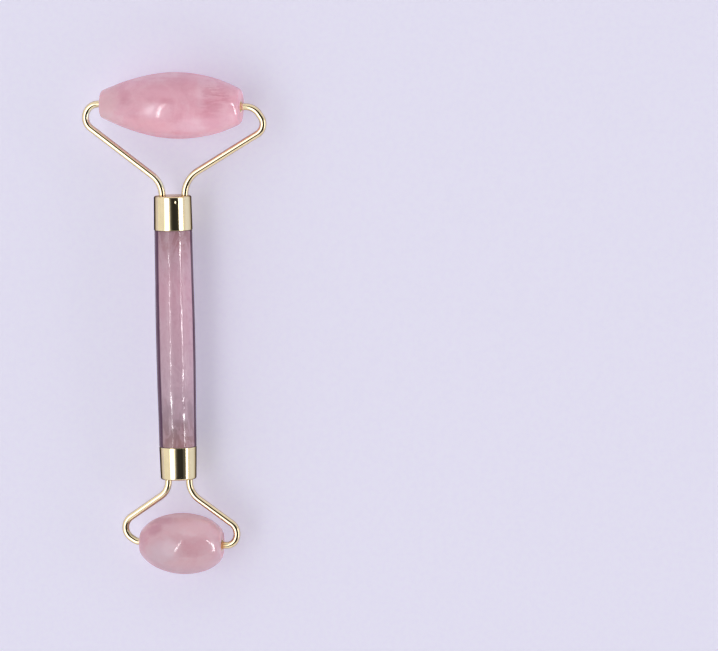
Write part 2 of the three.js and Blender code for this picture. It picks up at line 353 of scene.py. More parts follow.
def rod():
    low, high = ROD_FACES
    (low_y, low_radius), (high_y, high_radius) = ROD_SHOULDERS
    table = np.array(ROD_BODY, float)
    fit = np.polynomial.Polynomial.fit(table[:, 0], table[:, 1], 5)
    body = [(y, float(fit(y))) for y in np.linspace(low_y + 0.6, high_y - 0.6, 90)]
    profile = (rod_end(low, low - TENON_LENGTH, low_radius, body[0]) + body
               + rod_end(high, high + TENON_LENGTH, high_radius, body[-1])[::-1])
    seed = Vector((21.0, 2.6, 9.3))

    def bumps(station, angle, radius):
        share = inside_ends(station, low, high, start=0.3, full=2.0)
        if share <= 0 or radius < 4.8:
            return 0.0
        c, s = math.cos(angle), math.sin(angle)
        broad = 0.022 * noise.noise(Vector((c * 1.7, station * 0.085, s * 1.7)) + seed)
        fine = 0.006 * noise.noise(Vector((c * 3.6, station * 0.24, s * 3.6)) + seed * 1.3)
        return share * (broad + fine)

    obj = lathe("handle_stone_polished", profile, (0.0, 0.0), (0.0, 1.0), 160, bumps=bumps)
    return register(obj, "handle", "handle_stone")


# ------------------------------------------------------------------ ferrules
def ferrule_profile(kind):
    """(y, radius) of the cup, from the closed end's outside round the rim to its inside."""
    cup = FERRULES[kind]
    closed, opened = cup["closed"], cup["opened"]
    closed_radius, open_radius = cup["closed_radius"], cup["open_radius"]
    outward = math.copysign(1.0, closed - opened)
    flare = open_radius - closed_radius
    near_rim = (opened + outward, open_radius - flare / abs(closed - opened))
    corner = rounded([(closed, closed_radius - 1.2), (closed, closed_radius), near_rim],
                     [0, FERRULE_CORNER, 0], step=7)[1:-1]
    side = [(closed + (opened - closed) * k / 12, closed_radius + flare * k / 12)
            for k in range(2, 12)]
    rim_inside = (opened, open_radius - FERRULE_WALL)
    rim = rounded([(opened + outward * 0.5, open_radius), (opened, open_radius), rim_inside,
                   (closed - outward * 2.0, open_radius - FERRULE_WALL)],
                  [0, RIM_ROUND_OUTER, RIM_ROUND_INNER, 0])[1:-1]
    floor_y = closed - outward * FERRULE_CAP
    floor_radius = closed_radius - FERRULE_WALL
    inside = rounded([rim_inside, (floor_y, floor_radius), (floor_y, floor_radius - 1.0)],
                     [0, FERRULE_INNER_CORNER, 0])[1:-1]
    return corner + side + rim + inside


def ferrule(kind, segments=160, hole_segments=56):
    """A drawn cup whose closed end has two holes for the legs of the fork."""
    closed = FERRULES[kind]["closed"]
    outward = math.copysign(1.0, closed)
    bm = bmesh.new()

    def ring(y, radius, x=0.0, count=segments):
        angles = [2 * math.pi * j / count for j in range(count)]
        return [bm.verts.new((x + radius * math.sin(a), y, radius * math.cos(a)))
                for a in angles]

    def skin(rings):
        for p, q in zip(rings[:-1], rings[1:]):
            for j in range(len(p)):
                k = (j + 1) % len(p)
                bm.faces.new((p[j], q[j], q[k], p[k]))

    rings = [ring(y, radius) for y, radius in ferrule_profile(kind)]
    skin(rings)
    outer_loops, inner_loops = [rings[0]], [rings[-1]]
    chamfer = LEG_HOLE_CHAMFER
    hole_profile = [
        (closed, LEG_HOLE_RADIUS + chamfer),
        (closed - outward * chamfer * 0.3, LEG_HOLE_RADIUS + chamfer * 0.3),
        (closed - outward * chamfer, LEG_HOLE_RADIUS),
        (closed - outward * FERRULE_CAP, LEG_HOLE_RADIUS),
    ]
    for side in SIDES:
        leg_x = ARMS[kind, side]["bends"][0][0]
        hole = [ring(y, radius, leg_x, hole_segments) for y, radius in hole_profile]
        skin(hole)
        outer_loops.append(hole[0])
        inner_loops.append(hole[-1])
    for loops in (outer_loops, inner_loops):
        edges = []
        for loop in loops:
            for pair in zip(loop, loop[1:] + loop[:1]):
                edges.append(bm.edges.get(pair) or bm.edges.new(pair))
        bmesh.ops.triangle_fill(bm, use_beauty=True, use_dissolve=False, edges=edges)
    points = [tuple(vert.co) for vert in bm.verts]
    bm.verts.index_update()
    faces = [tuple(vert.index for vert in face.verts) for face in bm.faces]
    bm.free()
    obj = add_solid(f"{kind}_end_ferrule_drawn", points, faces, sharp=28)
    return register(obj, "handle", f"{kind}_end_ferrule")


# ------------------------------------------------------------------ fork wires
def wire_path(kind, side):
    """(point, unit tangent) stations along a wire, from its leg's end to its tip in the stone."""
    arm, axis = ARMS[kind, side], AXES[kind]
    closed = FERRULES[kind]["closed"]
    end, inward = axis.end(side)
    axis_x, axis_radius = arm["axis_bend"]
    bends = arm["bends"] + [(axis_x, axis.y_at(axis_x), axis_radius)]
    leg_end = (bends[0][0], closed - math.copysign(LEG_INSERT, closed))
    tip = end + inward * axis.direction * (ROLLERS[kind]["hole_depth"] - PIN_GAP)
    corners = [np.array(p, float) for p in (leg_end, *[bend[:2] for bend in bends], tip)]
    first_run = corners[1] - corners[0]
    path = [(corners[0], first_run / np.linalg.norm(first_run))]

    def go_straight(target, tangent, spacing):
        last = path[-1][0]
        count = int(float(np.linalg.norm(target - last)) / spacing)
        for k in range(1, count):
            path.append((last + (target - last) * k / count, tangent))

    for i, bend in enumerate(bends, 1):
        arc = fillet(corners[i - 1], corners[i], corners[i + 1], bend[2], step=2.2)
        go_straight(*arc[0], spacing=1.2)
        path.extend(arc)
    last_run = tip - path[-1][0]
    tangent = last_run / float(np.linalg.norm(last_run))
    go_straight(tip, tangent, spacing=1.0)
    path.append((tip, tangent))
    return path


def wire(kind, side, segments=44):
    path = wire_path(kind, side)
    points, rings = [], []

    def add_ring(point, tangent, radius):
        normal = np.array([-tangent[1], tangent[0], 0.0])
        rings.append(list(range(len(points), len(points) + segments)))
        for j in range(segments):
            angle = 2 * math.pi * j / segments
            spoke = math.cos(angle) * normal + math.sin(angle) * np.array([0, 0, 1.0])
            points.append(np.array([point[0], point[1], 0.0]) + radius * spoke)

    # distance from the wire's end, radius
    rounding = [(WIRE_END_ROUND * (1 - math.cos(a)), WIRE_RADIUS - WIRE_END_ROUND * (1 - math.sin(a)))
                for a in np.linspace(0, math.pi / 2, 6)]
    (start, start_tangent), (tip, tip_tangent) = path[0], path[-1]
    for inset, radius in rounding:
        add_ring(start + start_tangent * inset, start_tangent, radius)
    clear = WIRE_END_ROUND + 0.1
    for point, tangent in path[1:-1]:
        if min(np.linalg.norm(point - start), np.linalg.norm(point - tip)) > clear:
            add_ring(point, tangent, WIRE_RADIUS)
    for inset, radius in reversed(rounding):
        add_ring(tip - tip_tangent * inset, tip_tangent, radius)
    faces = []
    for p, q in zip(rings[:-1], rings[1:]):
        for j in range(segments):
            k = (j + 1) % segments
            faces.append((p[j], q[j], q[k], p[k]))
    faces.append(tuple(rings[0]))
    faces.append(tuple(reversed(rings[-1])))
    name = f"{kind}_fork_{side}_arm"
    obj = add_solid(f"{name}_wire", points, faces, sharp=40)
    return register(obj, "handle", name)


stones = {kind: stone(kind) for kind in KINDS}
bushes = [bush(kind, side) for kind in KINDS for side in SIDES]
handle = rod()
ferrules = {kind: ferrule(kind) for kind in KINDS}
wires = {arm: wire(*arm) for arm in ARMS}

# ------------------------------------------------------------------ node building
# the camera's axes in the frame; BACK points from the roller towards the camera
RIGHT = (0.98504685, -0.01846148, -0.17129473)
UP = (0.00233452, 0.99558126, -0.09387499)
BACK = (0.17227089, 0.09207137, 0.98073727)


def srgb(*levels):
    """Linear RGBA from sRGB levels of 0 to 255."""
    parts = [level / 255 for level in levels]
    return tuple(c / 12.92 if c <= 0.04045 else ((c + 0.055) / 1.055) ** 2.4 for c in parts) + (1.0,)


def dimmed(colour, factor):
    return tuple(c * factor for c in colour[:3]) + (1.0,)


class Value:
    """The output of a node; arithmetic on it adds Math nodes."""

    def __init__(self, net, socket):
        self.net = net
        self.socket = socket

    def __add__(self, other):
        return self.net.math("ADD", self, other)

    def __radd__(self, other):
        return self.net.math("ADD", other, self)

    def __sub__(self, other):
        return self.net.math("SUBTRACT", self, other)

    def __rsub__(self, other):
        return self.net.math("SUBTRACT", other, self)

    def __mul__(self, other):
        return self.net.math("MULTIPLY", self, other)

    def __truediv__(self, other):
        return self.net.math("DIVIDE", self, other)


class NodeNet:
    """Builds the node tree of a material or world."""

    def __init__(self, owner):
        owner.use_nodes = True
        self.nodes = owner.node_tree.nodes
        self.links = owner.node_tree.links
        self.nodes.clear()

    def feed(self, node, inputs):
        for key, value in inputs.items():
            if isinstance(value, Value):
                self.links.new(value.socket, node.inputs[key])
            else:
                node.inputs[key].default_value = value

    def add(self, kind, inputs=(), **properties):
        node = self.nodes.new("ShaderNode" + kind)
        for key, value in properties.items():
            setattr(node, key, value)
        self.feed(node, dict(inputs))
        return node

    def make(self, kind, inputs=(), output=0, **properties):
        """Add a node and return one of its outputs."""
        return Value(self, self.add(kind, inputs, **properties).outputs[output])

    def math(self, operation, *operands):
        return self.make("Math", enumerate(operands), operation=operation)

    def vector(self, operation, *operands, output="Vector"):
        return self.make("VectorMath", enumerate(operands), output, operation=operation)

    def dot(self, a, b):
        return self.vector("DOT_PRODUCT", a, b, output="Value")

    def split(self, vector):
        node = self.add("SeparateXYZ", {0: vector})
        return [Value(self, node.outputs[axis]) for axis in "XYZ"]

    def normal(self):
        return self.make("NewGeometry", output="Normal")

    def facing(self):
        """0 where the surface faces the view, 1 where it turns away."""
        return self.make("LayerWeight", {"Blend": 0.5}, "Facing")

    def remap(self, x, low, high, to_low, to_high, interpolation="LINEAR"):
        ends = {"From Min": low, "From Max": high, "To Min": to_low, "To Max": to_high}
        return self.make("MapRange", {"Value": x, **ends}, "Result",
                         interpolation_type=interpolation)

    def smooth(self, x, low, high):
        """Rises smoothly from 0 at `low` to 1 at `high`."""
        return self.remap(x, low, high, 0.0, 1.0, "SMOOTHSTEP")

    def band(self, x, low, high, soft):
        """1 between `low` and `high`, with soft edges."""
        rise = self.smooth(x, low - soft, low + soft)
        return rise * (1.0 - self.smooth(x, high - soft, high + soft))

    def mapped(self, vector, scale, turn=(0, 0, 0)):
        return self.make("Mapping", {"Vector": vector, "Scale": scale, "Rotation": turn}, "Vector")

    def noise(self, vector, scale, w, detail=3.0, rough=0.6, distortion=0.3):
        inputs = {"Vector": vector, "W": w, "Scale": scale, "Detail": detail,
                  "Roughness": rough, "Distortion": distortion}
        return self.make("TexNoise", inputs, "Fac", noise_dimensions="4D")

    def ramp(self, factor, stops, interpolation="EASE"):
        node = self.add("ValToRGB", {"Fac": factor})
        node.color_ramp.interpolation = interpolation
        elements = node.color_ramp.elements
        while len(elements) > 1:
            elements.remove(elements[-1])
        elements[0].position, elements[0].color = stops[0]
        for position, colour in stops[1:]:
            elements.new(position).color = colour
        return Value(self, node.outputs["Color"])

    def mix(self, factor, a, b, blend="MIX"):
        # 6, 7 and output 2 are the colour sockets
        return self.make("Mix", {"Factor": factor, 6: a, 7: b}, 2,
                         data_type="RGBA", blend_type=blend)

    def blob(self, at, centre, radii, soft, bend=None):
        """1 inside an ellipsoid (mm), falling to 0 outside, its edge bent by a 0 to 1 noise."""
        offset = self.vector("SUBTRACT", at, [c * MM for c in centre])
        ratio = self.vector("MULTIPLY", offset, [1 / (r * MM) for r in radii])
        distance = self.vector("LENGTH", ratio, output="Value")
        if bend is not None:
            distance = distance + (bend - 0.5) * 1.3
        return 1.0 - self.smooth(distance, 1 - soft, 1 + soft)

    def bump(self, height, distance, normal=None):
        inputs = {"Height": height, "Distance": distance, "Strength": 1.0}
        if normal is not None:
            inputs["Normal"] = normal
        return self.make("Bump", inputs, "Normal")


def new_material(name):
    """A material, its net, its Principled shader and the position on the object, in metres."""
    material = bpy.data.materials.new(name)
    net = NodeNet(material)
    output = net.add("OutputMaterial")
    shader = net.add("BsdfPrincipled")
    net.feed(output, {"Surface": Value(net, shader.outputs["BSDF"])})
    return material, net, shader, net.make("TexCoord", output="Object")


# ------------------------------------------------------------------ roller quartz
DEEP = {"large": (190, 120, 136), "small": (184, 122, 138)}
# Colours are sRGB levels, multiplied by `brightness`.
#   clouds: the three cloud tones and where on the noise each lies
#   rim, dull: |x| in metres over which the painted shade on the outline and the unshiny middle fade
#       out
#   lift, sink: painted light and shade, a gain in brightness towards the top, a loss towards the
#       bottom
#   spots: colour, edge softness, noise that bends the edge, [(centre, radii, share) in mm]
#   fans: (centre, radii, share) of groups of short slanting strokes
QUARTZ = {
    "large": dict(
        seed=2.3, brightness=0.98, patch_share=0.26, rim=(0.0185, 0.0202),
        dull=(0.0150, 0.0170), painted_light_lift=0.17, painted_shade_sink=0.05,
        clouds=[(0.34, (208, 152, 166)), (0.50, (216, 164, 178)), (0.66, (220, 178, 190))],
        spots=[
            ((220, 166, 181), 0.55, "wisps", [((-1.6, 30.2, 8.6), (5.4, 2.2, 4.0), 0.55)]),
            ((224, 168, 176), 0.55, "wisps", [((-6.5, 20.3, 6.6), (8.0, 2.6, 4.0), 0.45)]),
            ((217, 183, 187), 0.50, "wisps", [((-18.8, 25.9, 0.0), (5.4, 7.6, 8.4), 0.60)]),
            ((221, 184, 198), 0.55, "patches", [
                ((7.2, 20.0, 7.3), (4.2, 2.6, 4.0), 0.38),
                ((17.2, 25.6, 6.5), (1.9, 2.0, 3.0), 0.10),
                ((10.7, 29.5, 7.4), (1.3, 5.0, 3.4), 0.38),
                ((-3.8, 25.2, 9.0), (2.2, 1.8, 3.0), 0.35)]),
            (DEEP["large"], 0.55, "patches", [
                ((3.8, 32.2, 6.9), (8.0, 2.4, 4.0), 0.20),
                ((0.6, 27.6, 9.0), (2.2, 0.9, 3.0), 0.24),
                ((-12.2, 29.4, 6.3), (1.7, 1.5, 3.0), 0.26),
                ((-11.5, 27.6, 7.2), (1.8, 1.0, 3.0), 0.26)]),
            ((204, 149, 165), 0.55, "wisps", [((14.9, 21.9, 6.0), (4.2, 2.0, 3.6), 0.50)]),
        ],
        fans=[((14.2, 30.2, 6.4), (3.4, 2.2, 4.0), 0.52),
              ((14.8, 27.9, 7.0), (3.8, 1.4, 4.0), 0.52),
              ((13.2, 24.8, 7.8), (3.6, 1.9, 4.0), 0.38)]),
    "small": dict(
        seed=8.9, brightness=1.035, patch_share=0.14, rim=(0.0100, 0.0112),
        dull=(0.0084, 0.0096), painted_light_lift=0.09, painted_shade_sink=0.13,
        clouds=[(0.34, (208, 162, 172)), (0.50, (212, 172, 181)), (0.66, (217, 186, 194))],
        spots=[
            ((222, 184, 191), 0.55, "wisps", [
                ((6.0, -95.9, 6.0), (6.5, 2.8, 4.4), 0.55),
                ((3.0, -106.4, 6.6), (7.0, 1.6, 4.0), 0.40)]),
            ((214, 190, 201), 0.55, "wisps", [
                ((-2.8, -101.9, 8.3), (4.2, 3.0, 4.0), 0.55),
                ((-5.4, -103.8, 7.2), (4.4, 2.4, 4.0), 0.40)]),
            ((204, 146, 160), 0.55, "patches", [((7.2, -100.6, 8.0), (3.4, 2.6, 3.6), 0.16)]),
            (DEEP["small"], 0.55, "patches", [
                ((-6.4, -96.4, 6.0), (2.6, 1.5, 3.6), 0.55),
                ((-4.4, -94.2, 3.8), (4.4, 1.1, 3.2), 0.45),
                ((-9.6, -99.4, 3.6), (1.6, 2.6, 3.4), 0.30)]),
        ],
        fans=[]),
}


def roller_quartz(kind):
    look, axis = QUARTZ[kind], AXES[kind]
    material, net, shader, at = new_material(f"rose_quartz_{kind}_roller")
    seed = look["seed"]

    def colour_of(levels):
        return dimmed(srgb(*levels), look["brightness"])

    stops = [(position, colour_of(levels)) for position, levels in look["clouds"]]
    rosy, pale = stops[0][1], stops[-1][1]
    deep = colour_of(DEEP[kind])

    # clouds, then wisps, patches and two sizes of speckle over them
    clouds = net.noise(net.mapped(at, (1.0, 1.0, 1.0), turn=(0.35, -0.2, 0.5)), scale=95,
                       w=seed, detail=5.0, rough=0.58, distortion=0.9)
    wisps = net.noise(net.mapped(at, (1.0, 2.2, 1.6), turn=(0.1, 0.3, -0.6)), scale=170,
                      w=seed + 3, detail=6.0, rough=0.62, distortion=1.4)
    patches = net.noise(net.mapped(at, (1.0, 1.3, 1.0), turn=(0.0, 0.4, 0.9)), scale=270,
                        w=seed + 5, detail=4.0, distortion=0.8)
    fine = net.noise(at, scale=620, w=seed + 7, detail=4.0, distortion=0.4)
    colour = net.ramp(clouds, stops)
    colour = net.mix(net.band(wisps, 0.47, 0.53, soft=0.035) * 0.20, colour, pale)
    patch = net.smooth(patches, 0.50, 0.68) * look["patch_share"]
    colour = net.mix(patch, colour, colour_of((204, 144, 160)))
    colour = net.mix(net.smooth(fine, 0.50, 0.66) * 0.26, colour, rosy)
    grain = net.noise(at, scale=1500, w=seed + 9)
    colour = net.mix(net.smooth(grain, 0.50, 0.62) * 0.14, colour, pale)

    bends = {"wisps": wisps, "patches": patches}
    for levels, soft, bend, places in look["spots"]:
        for centre, radii, share in places:
            spot = net.blob(at, centre, radii, soft, bends[bend]) * share
            colour = net.mix(spot, colour, colour_of(levels))
    if look["fans"]:
        strokes = net.noise(net.mapped(at, (0.40, 1.7, 0.8), turn=(0.0, 0.0, 0.20)), scale=480,
                            w=seed + 13, distortion=0.7)
        for centre, radii, share in look["fans"]:
            spot = net.blob(at, centre, radii, 0.55, patches)
            spot = spot * net.remap(net.smooth(strokes, 0.42, 0.58), 0.0, 1.0, 0.25, 1.0)
            colour = net.mix(spot * share, colour, deep)

    # painted light: the bore walls are painted bright amber, standing in for light through the stone
    # and the wire's golden reflection
    x, y, z = net.split(at)
    slope = axis.direction[1] / axis.direction[0]
    off_axis = y - (axis.centre[1] + Y_SHIFT) * MM - x * slope
    from_axis = net.math("SQRT", off_axis * off_axis + z * z)
    hole = 1.0 - net.smooth(from_axis, 0.00156, 0.00185)
    colour = net.mix(hole, colour, (0.98, 0.76, 0.56, 1.0))

    # painted shade: where the outline turns away from the view it is painted a deeper rose, except at
    # its two ends
    not_ends = 1.0 - net.smooth(net.math("ABSOLUTE", x), *look["rim"])
    edge = net.smooth(net.facing(), 0.80, 0.98) * not_ends
    colour = net.mix(edge * 0.62, colour, colour_of((186, 104, 118)))

    # painted light and shade: brighter where the surface leans up in the view, darker where it leans
    # down
    lean = net.dot(net.normal(), UP)
    painted_light_gain = net.math("MAXIMUM", lean, 0.0) * look["painted_light_lift"] + 1.0
    painted_light_gain = painted_light_gain + net.math("MINIMUM", lean, 0.0) * look["painted_shade_sink"]
    lit = net.make("VectorMath", {0: colour, "Scale": painted_light_gain}, operation="SCALE")

    # grazing reflections are damped in the middle and where the surface faces along x
    across = net.math("ABSOLUTE", net.dot(net.normal(), (1.0, 0.0, 0.0)))
    middle = 1.0 - net.smooth(net.math("ABSOLUTE", x), *look["dull"])
    where = net.math("MAXIMUM", middle, net.smooth(across, 0.950, 0.985))
    dull = net.smooth(net.facing(), 0.48, 0.84) * where
    waves = net.noise(at, scale=330, w=seed + 11, detail=2.0, rough=0.5)
    net.feed(shader, {
        "Base Color": lit,
        "Subsurface Weight": 0.35,
        "Subsurface Radius": (1.0, 0.50, 0.60),
        "Subsurface Scale": 0.0016,
        "IOR": 1.54,
        "Specular IOR Level": (1.0 - dull) * 0.5,
        "Roughness": net.remap(fine, 0.3, 0.7, 0.06, 0.11),
        "Normal": net.bump(waves, distance=0.000009),
    })
    return material


# ------------------------------------------------------------------ handle quartz
HANDLE_BRIGHTNESS = 0.85
# position along the rod from the small to the large end, sRGB levels, dimming
# the browner, dimmed tones at both ends are painted shade and painted gold reflection from the
# ferrules; the middle tones are the stone's own
HANDLE_TONES_AND_END_SHADE = [
    (0.00, (150, 116, 118), 1.0), (0.08, (152, 124, 131), 0.95), (0.16, (161, 136, 147), 0.91),
    (0.26, (181, 153, 166), 1.0), (0.52, (192, 156, 170), 1.0), (0.74, (194, 151, 166), 1.0),
    (0.86, (182, 144, 157), 1.0), (0.94, (168, 126, 134), 0.90), (1.00, (152, 113, 120), 0.85),
]


def handle_quartz():
    material, net, shader, at = new_material("rose_quartz_handle")

    def colour_of(levels, end_shade_dimming=1.0):
        return dimmed(srgb(*levels), HANDLE_BRIGHTNESS * end_shade_dimming)

    _, y, _ = net.split(at)
    wisps = net.noise(net.mapped(at, (1.0, 0.45, 1.0), turn=(0.0, 0.2, 0.6)), scale=170,
                      w=5.5, detail=5.0, distortion=1.2)
    clouds = net.noise(net.mapped(at, (1.0, 0.55, 1.0), turn=(0.0, 0.0, -0.5)), scale=120,
                       w=1.7, detail=4.0, rough=0.55, distortion=0.8)
    fine = net.noise(at, scale=600, w=9.1, detail=4.0)
    along = net.remap(y, -0.0729, -0.0099, 0.0, 1.0) + (clouds - 0.5) * 0.14
    stops = [(position, colour_of(levels, end_shade_dimming)) for position, levels, end_shade_dimming in HANDLE_TONES_AND_END_SHADE]
    colour = net.ramp(along, stops, "LINEAR")
    for amount, levels in (
            (net.smooth(clouds, 0.42, 0.62) * 0.20, (198, 170, 184)),
            (net.band(wisps, 0.46, 0.54, soft=0.03) * 0.26, (204, 176, 188)),
            (net.smooth(fine, 0.50, 0.70) * 0.24, (170, 124, 140))):
        colour = net.mix(amount, colour, colour_of(levels))

    # painted light and shade: the right half is painted lighter, and both margins are painted a dark
    # purple shade, further in on the left
    lean = net.dot(net.normal(), RIGHT)
    margin = net.facing() + (wisps - 0.5) * 0.04 - lean * 0.07
    painted_light_gain = 1.0 + net.math("MAXIMUM", lean, 0.0) * 0.34
    painted_light_lift = net.make("CombineColor", enumerate([painted_light_gain] * 3))
    colour = net.mix(1.0, colour, painted_light_lift, "MULTIPLY")
    edge = net.smooth(margin, 0.415, 0.50)
    painted_margin_shade_colour = net.mix(net.smooth(margin, 0.52, 0.85), srgb(74, 46, 68), srgb(98, 78, 96))
    colour = net.mix(edge * 0.95, colour, painted_margin_shade_colour)

    # long narrow polishing flats and streaks break up the reflections of the lights
    flats = net.noise(net.mapped(at, (1.0, 0.22, 1.0)), scale=760, w=3.3, detail=2.0,
                      rough=0.5, distortion=0.2)
    streaks = net.noise(net.mapped(at, (1.0, 0.30, 1.0)), scale=640, w=7.9, detail=2.0,
                        rough=0.55)
    shine = net.remap(net.smooth(streaks, 0.42, 0.60), 0.0, 1.0, 0.24, 0.62)
    net.feed(shader, {
        "Base Color": colour,
        "IOR": 1.54,
        "Roughness": net.remap(fine, 0.3, 0.7, 0.05, 0.10),
        "Normal": net.bump(flats, distance=0.000075),
        "Specular IOR Level": shine * (1.0 - edge * 0.85),
    })
    return material


# ------------------------------------------------------------------ gold
def gold(name, base, edge_tint, rough, seed, wave, rims, dent=None, end_tint=None):
    """Bright plating, tinted by `rims` with painted reflections and shade where it turns away from
    the view.

    rims(net, at) lists (colour, from, to, share, shift): the colour comes in between from and
    to on the facing value plus shift. `wave` is the height of the bumps in metres, `end_tint`
    the edge tint of faces across the rod. `edge_tint` and `end_tint` are picked brown, so the
    grazing reflections carry a painted reflection of dark surroundings.
    """
    material, net, shader, at = new_material(name)
    mottle = net.noise(at, scale=240, w=seed, rough=0.55)
    drawn = net.noise(net.mapped(at, (1.0, 0.05, 1.0)), scale=1300, w=seed + 1, distortion=0.0)
    fine = net.noise(net.mapped(at, (1.0, 0.35, 1.0)), scale=1500, w=seed + 2, distortion=0.0)
    colour = net.mix(net.smooth(mottle, 0.35, 0.68), base, dimmed(base, 0.94))
    colour = net.mix(net.smooth(drawn, 0.45, 0.65) * 0.35, colour, dimmed(base, 0.86))
    for painted_rim_colour, start, end, share, shift in rims(net, at):
        turned = net.facing() + shift
        colour = net.mix(net.smooth(turned, start, end) * share, colour, painted_rim_colour)
    net.feed(shader, {"Base Color": colour, "Metallic": 1.0, "Specular Tint": edge_tint})
    if end_tint:
        across = net.math("ABSOLUTE", net.dot(net.normal(), (0.0, 1.0, 0.0)))
        tint = net.mix(net.smooth(across, 0.55, 0.90), edge_tint, end_tint)
        net.feed(shader, {"Specular Tint": tint})
    normal = net.bump(mottle, wave)
    if dent:
        hollow = 1.0 - net.blob(at, dent["centre"], dent["radii"], soft=0.75)
        normal = net.bump(hollow, dent["depth"], normal)
    roughness = net.remap(fine, 0.3, 0.7, rough, rough + 0.05)
    net.feed(shader, {"Roughness": roughness, "Normal": normal})
    return material


def ferrule_painted_reflections(net, at):
    """Painted reflections and shade: bright yellow to the right, then browns, nearly black at the
    margin; tan on the ends.
    """
    lean = net.dot(net.normal(), RIGHT)
    end = net.math("ABSOLUTE", net.dot(net.normal(), (0.0, 1.0, 0.0)))
    return [
        ((1.0, 0.92, 0.55, 1.0), 0.62, 0.76, 0.90, lean - net.facing()),
        ((0.42, 0.27, 0.15, 1.0), 0.42, 0.76, 0.58, (lean - 1.0) * 0.10),
        ((0.045, 0.022, 0.010, 1.0), 0.53, 0.74, 0.97, lean * -0.03),
        ((0.50, 0.29, 0.14, 1.0), 0.74, 0.90, 0.90, end - 1.0),
    ]


def wire_painted_reflections(net, at):
    """Painted reflections and shade: brown where a wire faces its own roller, thin elsewhere."""
    x, y, _ = net.split(at)
    # middle of the nearer roller, and how far the surface faces it
    roller_y = net.remap(net.smooth(y, -0.045, -0.035), 0.0, 1.0, -0.1013, 0.0260)
    roller = net.make("CombineXYZ", {"Y": roller_y})
    towards = net.vector("NORMALIZE", net.vector("SUBTRACT", roller, at))
    inward = net.dot(towards, net.normal())
    # painted reflection: the inner side of a left arm is painted pale, as it mirrors the stone less
    # pink; paler on the large fork
    lean = net.dot(net.normal(), RIGHT)
    left_inner = net.math("MINIMUM", lean, inward) - net.facing()
    large = net.smooth(y, -0.045, -0.035)
    small = 1.0 - large
    # painted shade and reflection: the last stretch before the small stone's right-hand hole is
    # painted amber, as the bore shades and tints it
    painted_entry_shade = small * net.smooth(x, 0.0, 0.002) * (1.0 - net.smooth(x, 0.0129, 0.0141))
    painted_entry_shade = painted_entry_shade * (1.0 - net.smooth(y, -0.0992, -0.0984))
    everywhere = 1.0 - net.facing()
    return [
        ((1.0, 1.0, 0.74, 1.0), 0.17, 0.29, large * 0.90, left_inner),
        ((0.62, 0.58, 0.36, 1.0), 0.17, 0.29, small * 0.75, left_inner),
        ((0.74, 0.44, 0.17, 1.0), 0.5, 0.9, painted_entry_shade * 0.80, everywhere),
        ((0.58, 0.38, 0.21, 1.0), 0.58, 0.80, 0.85, net.math("MAXIMUM", inward, -0.6) * 0.18),
        ((0.20, 0.12, 0.07, 1.0), 0.66, 0.92, 0.80, 0.0),
    ]


# ------------------------------------------------------------------ nylon, epoxy, brass
def plain(name, dark, light, rough, scale, seed, metallic=0.0, subsurface=0.0):
    material, net, shader, at = new_material(name)
    grain = net.noise(at, scale, w=seed, detail=4.0, distortion=0.4)
    net.feed(shader, {
        "Base Color": net.ramp(grain, [(0.35, dark), (0.65, light)]),
        "Roughness": net.remap(grain, 0.3, 0.7, rough, rough + 0.12),
        "Metallic": metallic,
        "Normal": net.bump(grain, distance=0.00001),
    })
    if subsurface:
        net.feed(shader, {"Subsurface Weight": subsurface, "Subsurface Radius": (1, 1, 1),
                          "Subsurface Scale": 0.0006})
    return material


# the brown edge_tint and end_tint colour the grazing reflections: a painted reflection of dark
# surroundings
ferrule_gold = gold(
    "pale_gold_ferrule", base=(0.95, 0.81, 0.505, 1.0), edge_tint=(0.16, 0.08, 0.04, 1.0),
    end_tint=(0.86, 0.64, 0.42, 1.0), rough=0.065, seed=4.2, wave=0.000022, rims=ferrule_painted_reflections,
    # a small dent in the large ferrule; place and size in mm, depth in metres
    dent=dict(centre=(2.16, -1.66, 5.00), radii=(0.33, 0.36, 0.9), depth=0.00011))
wire_gold = gold(
    "pale_gold_wire", base=(0.95, 0.80, 0.51, 1.0), edge_tint=(0.50, 0.38, 0.30, 1.0),
    rough=0.06, seed=6.8, wave=0.000010, rims=wire_painted_reflections)
nylon = plain("nylon_natural", srgb(248, 234, 208), srgb(252, 242, 222),
              rough=0.38, scale=900, seed=2.0, subsurface=0.45)
epoxy = plain("epoxy_cured", srgb(206, 196, 160), srgb(222, 214, 184),
              rough=0.30, scale=500, seed=3.0, subsurface=0.2)
brass = plain("braze_brass", (0.55, 0.36, 0.16, 1), (0.68, 0.47, 0.22, 1),
              rough=0.34, scale=1400, seed=4.0, metallic=1.0)


def wear(objects, material):
    for obj in objects:
        obj.data.materials.clear()
        obj.data.materials.append(material)


for kind in KINDS:
    wear([stones[kind]], roller_quartz(kind))
wear([handle], handle_quartz())
wear(ferrules.values(), ferrule_gold)
wear(wires.values(), wire_gold)
wear(bushes, nylon)

# Adhesive and braze beads are shut inside the ferrules and keep the loaded solids.
hidden = [(f"{kind}_end_adhesive", epoxy) for kind in KINDS]
hidden += [(f"{kind}_{side}_braze", brass) for kind in KINDS for side in SIDES]
for name, material in hidden:
    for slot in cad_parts[name].material_slots:
        slot.link = "OBJECT"
        slot.material = material

# ------------------------------------------------------------------ camera
EYE = (0.31049341507, 0.09930486934, 1.46075666931)


def make_camera():
    data = bpy.data.cameras.new("view_camera")
    data.sensor_width = 36.0
    data.sensor_fit = "HORIZONTAL"
    data.lens = 259.8788
    data.clip_start = 0.05
    data.clip_end = 50.0
    camera = add_object("view_camera", data)
    camera.matrix_world = Matrix([*zip(RIGHT, UP, BACK, EYE), (0, 0, 0, 1)])
    bpy.context.scene.camera = camera


make_camera()

# ------------------------------------------------------------------ floor
# y, z in mm of the points where the large and the small stone rest on it
FLOOR_CONTACTS = ((25.99, -9.56), (-101.2, -8.82))
FLOOR_DROP = 0.00004            # gap below the stones, metres
FLOOR_HALF = 4.0                # half its width, metres
FLOOR_CELLS = 24


